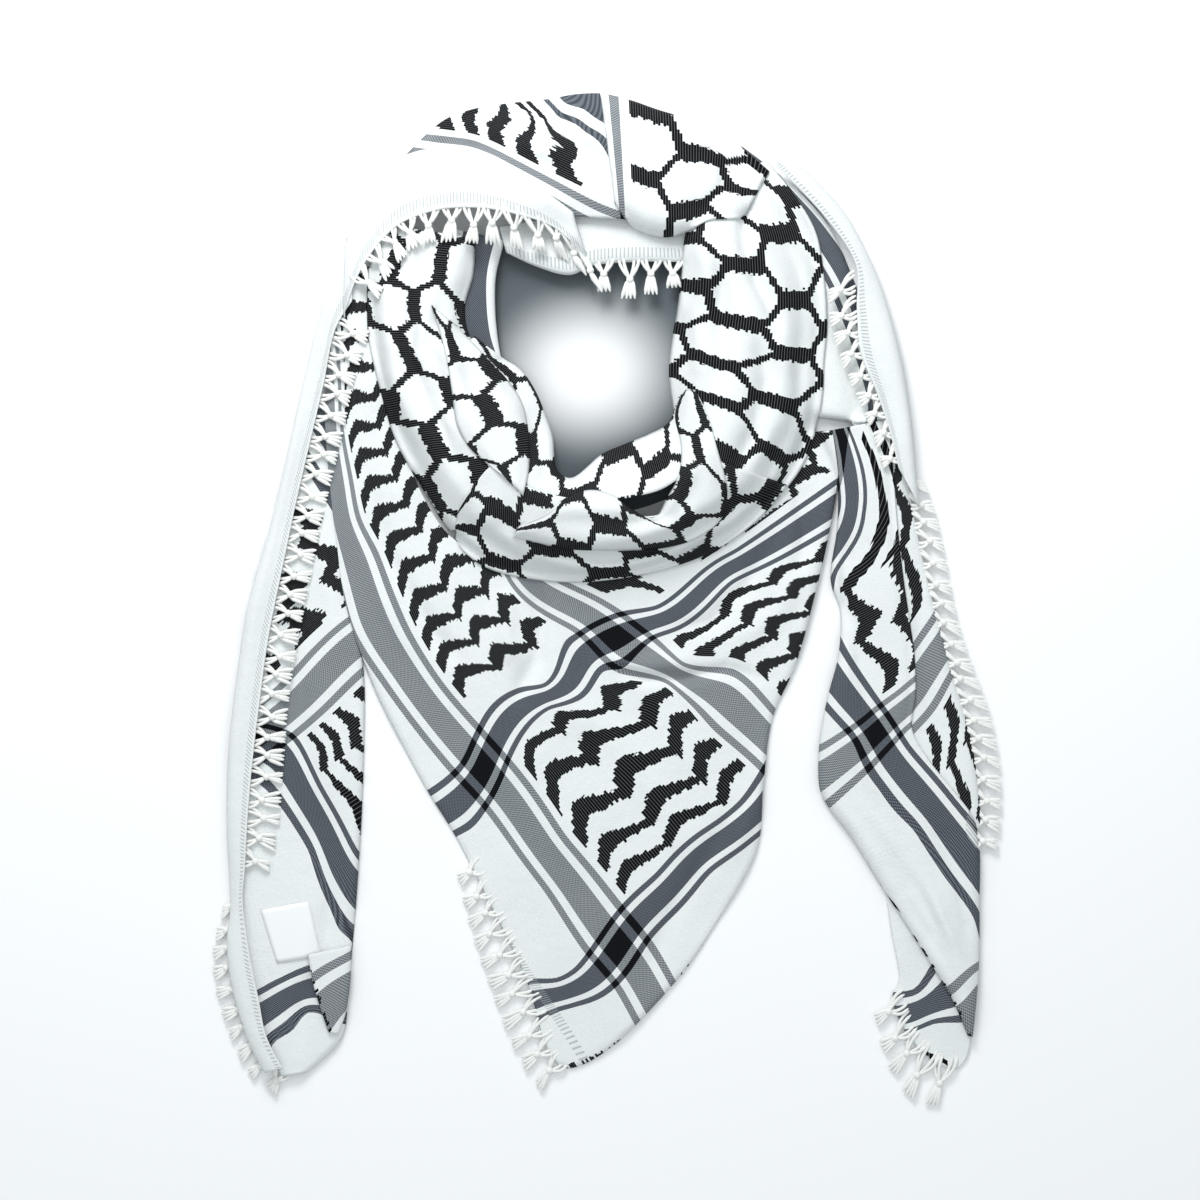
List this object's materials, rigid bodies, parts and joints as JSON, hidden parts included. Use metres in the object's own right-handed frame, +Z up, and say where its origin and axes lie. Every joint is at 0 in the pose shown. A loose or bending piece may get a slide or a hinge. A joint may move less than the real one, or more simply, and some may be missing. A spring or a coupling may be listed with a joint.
{
  "type": "keffiyeh headscarf",
  "caption": "Square woven cotton keffiyeh folded corner to corner and wound in a neck-sized ring, with a triangular front, two hanging tails and knotted tassel hems, laid flat",
  "frame": {"origin": "centre of the extent of the scarf as it lies, on the surface that it lies on", "axes": "+X to the viewer's right, +Y from the front point to the nape, +Z up out of the surface"},
  "size_m": [0.707, 0.91, 0.052],
  "materials": {
    "cotton_cloth": "matte",
    "fringe_yarn": "matte",
    "label_satin": "satin"
  },
  "bodies": {
    "root": {"back_of_neck": "cotton_cloth", "bib_tassels": "fringe_yarn", "cowl_fold": "cotton_cloth", "front_bib": "cotton_cloth", "front_roll": "cotton_cloth", "inner_hem": "cotton_cloth", "inner_hem_tassels": "fringe_yarn", "inner_left_band": "cotton_cloth", "inner_lip": "cotton_cloth", "left_fold": "cotton_cloth", "left_hem": "cotton_cloth", "left_roll": "cotton_cloth", "left_tail_padding": "cotton_cloth", "left_tail_panel": "cotton_cloth", "left_tail_tip": "cotton_cloth", "left_tassels": "fringe_yarn", "left_tip_tassels": "fringe_yarn", "nape_hem": "cotton_cloth", "nape_tassels": "fringe_yarn", "neck_padding": "cotton_cloth", "right_back_panel": "cotton_cloth", "right_hem": "cotton_cloth", "right_hem_tassels": "fringe_yarn", "right_roll": "cotton_cloth", "right_shoulder": "cotton_cloth", "right_tail_front": "cotton_cloth", "right_tail_padding": "cotton_cloth", "right_tail_side": "cotton_cloth", "right_tail_tassels": "fringe_yarn", "right_tail_tip": "cotton_cloth", "right_tip_tassels": "fringe_yarn", "woven_label": "label_satin"}
  },
  "joints": []
}
